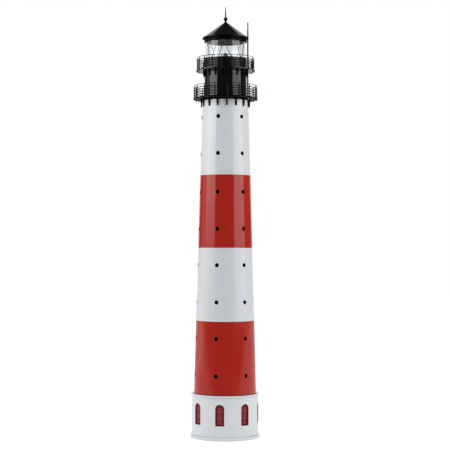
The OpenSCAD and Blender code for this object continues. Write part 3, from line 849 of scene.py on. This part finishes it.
def floor_material():
    """Pale studio floor: white to the eye and in reflections, and darker in the object's shadow."""
    material, tree, out, _ = new_material("pale_floor")
    path = add(tree, "ShaderNodeLightPath")
    bent = add(
        tree,
        "ShaderNodeMath",
        {"operation": "MAXIMUM"},
        in_0=path.outputs["Is Glossy Ray"],
        in_1=path.outputs["Is Transmission Ray"],
    )
    near = add(
        tree,
        "ShaderNodeMath",
        {"operation": "MAXIMUM"},
        in_0=path.outputs["Is Camera Ray"],
        in_1=bent.outputs[0],
    )
    matt = add(tree, "ShaderNodeBsdfDiffuse", Color=linear("#f0f0f0"))
    strength = add(
        tree,
        "ShaderNodeMapRange",
        Value=path.outputs["Is Glossy Ray"],
        To_Min=FLOOR_GLOW,
        To_Max=MIRRORED_FLOOR_GLOW,
    )
    glow = add(tree, "ShaderNodeEmission", Color=(1, 1, 1, 1), Strength=strength.outputs[0])
    both = add(tree, "ShaderNodeAddShader", in_0=matt.outputs[0], in_1=glow.outputs[0])
    mixed = add(tree, "ShaderNodeMixShader", in_0=near.outputs[0], in_1=matt.outputs[0], in_2=both.outputs[0])
    tree.links.new(mixed.outputs[0], out.inputs["Surface"])
    return material


class LIGHTHOUSE_OT_studio(bpy.types.Operator):
    """Floor, light panels, world and camera"""

    bl_idname = "lighthouse.studio"
    bl_label = "Set up the studio"

    def execute(self, context):
        scene = context.scene
        set_up = scene.lighthouse_studio
        # The floor paper ends in front of the set, short of where the tower's red bands would mirror it
        left, right, near, far = -FLOOR_WIDE, FLOOR_WIDE, -FLOOR_FRONT, FLOOR_WIDE
        floor = [(left, near, 0), (right, near, 0), (right, far, 0), (left, far, 0)]
        stage_plane("floor", floor, floor_material())
        for name, setting, azimuths, z_range, low_share in PANELS:
            panel(name, azimuths, z_range, low_share, getattr(set_up, setting))
        bounce = bpy.data.lights.new("paper_bounce", "AREA")
        bounce.shape = "DISK"
        bounce.size = 2 * set_up.paper_r
        bounce.energy = math.pi * math.pi * set_up.paper_r**2 * set_up.bounce_light
        paper = bpy.data.objects.new("paper_bounce", bounce)
        paper.location = (0, 0, MM)
        paper.rotation_euler = (math.pi, 0, 0)
        paper.visible_camera = False
        paper.visible_glossy = False
        scene.collection.objects.link(paper)

        world = bpy.data.worlds.new("studio_room")
        world.use_nodes = True
        scene.world = world
        tree = world.node_tree
        tree.nodes.clear()
        path = add(tree, "ShaderNodeLightPath")
        direction = add(tree, "ShaderNodeTexCoord").outputs["Generated"]
        parts = add(tree, "ShaderNodeSeparateXYZ", in_0=direction)
        depth = parts.outputs["Y"]
        # The white sweep behind the object leans forward overhead
        lean = add(
            tree,
            "ShaderNodeMath",
            {"operation": "MULTIPLY_ADD"},
            in_0=parts.outputs["Z"],
            in_1=SWEEP_LEAN,
            in_2=depth,
        )
        behind = add(
            tree,
            "ShaderNodeMath",
            {"operation": "GREATER_THAN"},
            in_0=lean.outputs[0],
            in_1=SWEEP_EDGE,
        )
        mirrored = add(
            tree,
            "ShaderNodeMath",
            {"operation": "MULTIPLY"},
            in_0=behind.outputs[0],
            in_1=path.outputs["Is Glossy Ray"],
        )
        straight = add(
            tree,
            "ShaderNodeMath",
            {"operation": "MAXIMUM"},
            in_0=path.outputs["Is Camera Ray"],
            in_1=path.outputs["Is Transmission Ray"],
        )
        white = add(
            tree,
            "ShaderNodeMath",
            {"operation": "MAXIMUM"},
            in_0=straight.outputs[0],
            in_1=mirrored.outputs[0],
        )
        fill = add(
            tree,
            "ShaderNodeMapRange",
            Value=depth,
            From_Min=-1.0,
            From_Max=1.0,
            To_Min=set_up.front_fill,
            To_Max=set_up.back_fill,
        )
        dim = add(
            tree,
            "ShaderNodeMapRange",
            Value=path.outputs["Is Glossy Ray"],
            To_Min=fill.outputs[0],
            To_Max=set_up.room_light,
        )
        level = add(tree, "ShaderNodeMapRange", Value=white.outputs[0], To_Min=dim.outputs[0], To_Max=1.0)
        room = add(tree, "ShaderNodeBackground", Color=(1, 1, 1, 1), Strength=level.outputs[0])
        tree.links.new(room.outputs[0], add(tree, "ShaderNodeOutputWorld").inputs["Surface"])

        lens = bpy.data.cameras.new("camera")
        lens.lens = set_up.lens
        lens.sensor_width = SENSOR_WIDTH
        camera = bpy.data.objects.new("camera", lens)
        camera.location = (set_up.side, -set_up.distance, set_up.height)
        camera.rotation_euler = (math.pi / 2 + set_up.pitch, set_up.roll, 0)
        scene.collection.objects.link(camera)
        scene.camera = camera
        scene.view_settings.view_transform = "Standard"
        return {"FINISHED"}


class LIGHTHOUSE_PT_sidebar(bpy.types.Panel):
    """The lighthouse's steps and settings in the 3D view's sidebar"""

    bl_idname = "LIGHTHOUSE_PT_sidebar"
    bl_label = "Lighthouse"
    bl_space_type = "VIEW_3D"
    bl_region_type = "UI"
    bl_category = "Lighthouse"

    def draw(self, context):
        for step in STEPS:
            self.layout.operator(step.bl_idname)
        for group in ("lighthouse_finishes", "lighthouse_details", "lighthouse_studio"):
            settings = getattr(context.scene, group)
            for name in settings.__annotations__:
                self.layout.prop(settings, name)


STEPS = (
    LIGHTHOUSE_OT_tower,
    LIGHTHOUSE_OT_galleries,
    LIGHTHOUSE_OT_lantern,
    LIGHTHOUSE_OT_fastenings,
    LIGHTHOUSE_OT_studio,
)
GROUPS = (LighthouseFinishes, LighthouseDetails, LighthouseStudio)


def register():
    """Registers the settings, the steps and the panel."""
    for kind in (*GROUPS, *STEPS, LIGHTHOUSE_PT_sidebar):
        bpy.utils.register_class(kind)
    bpy.types.Scene.lighthouse_finishes = bpy.props.PointerProperty(type=LighthouseFinishes)
    bpy.types.Scene.lighthouse_details = bpy.props.PointerProperty(type=LighthouseDetails)
    bpy.types.Scene.lighthouse_studio = bpy.props.PointerProperty(type=LighthouseStudio)


def unregister():
    """Takes them away again."""
    del bpy.types.Scene.lighthouse_studio
    del bpy.types.Scene.lighthouse_details
    del bpy.types.Scene.lighthouse_finishes
    for kind in reversed((*GROUPS, *STEPS, LIGHTHOUSE_PT_sidebar)):
        bpy.utils.unregister_class(kind)


def main():
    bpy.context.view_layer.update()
    register()
    bpy.ops.lighthouse.tower()
    bpy.ops.lighthouse.galleries()
    bpy.ops.lighthouse.lantern()
    bpy.ops.lighthouse.fastenings()
    bpy.ops.lighthouse.studio()


if __name__ == "__main__":
    main()
